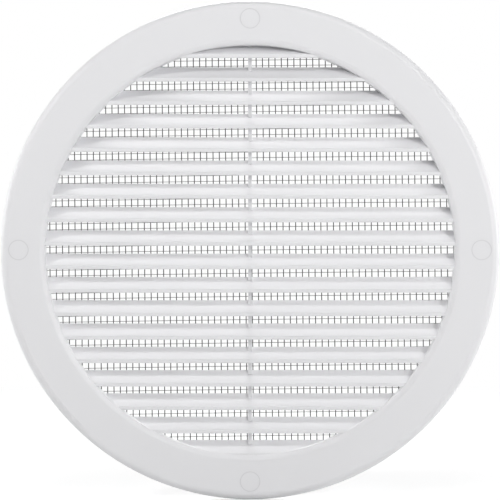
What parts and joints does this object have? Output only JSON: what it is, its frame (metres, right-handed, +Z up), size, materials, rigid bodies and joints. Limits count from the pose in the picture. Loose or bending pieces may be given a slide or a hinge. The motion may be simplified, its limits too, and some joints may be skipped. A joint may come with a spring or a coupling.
{
  "type": "round vent grille",
  "caption": "Round wall vent grille: a flanged moulding whose round opening is crossed by sloping louvre slats, with an insect net behind them and a short spigot.",
  "frame": {"origin": "on the axis of the spigot, in the plane where the flange's turned-back rim meets the wall", "axes": "the grille stands upright as on a wall: its face looks along -Y, the spigot runs back along +Y, +Z is up and the slats run along X, sloping down towards the face"},
  "size_m": [0.2, 0.0205, 0.2],
  "materials": {
    "white_plastic": "satin, slightly cool white",
    "grey_net": "dull dark grey strands"
  },
  "bodies": {
    "root": {"grille_body": "white_plastic", "insect_net": "grey_net"}
  },
  "joints": []
}
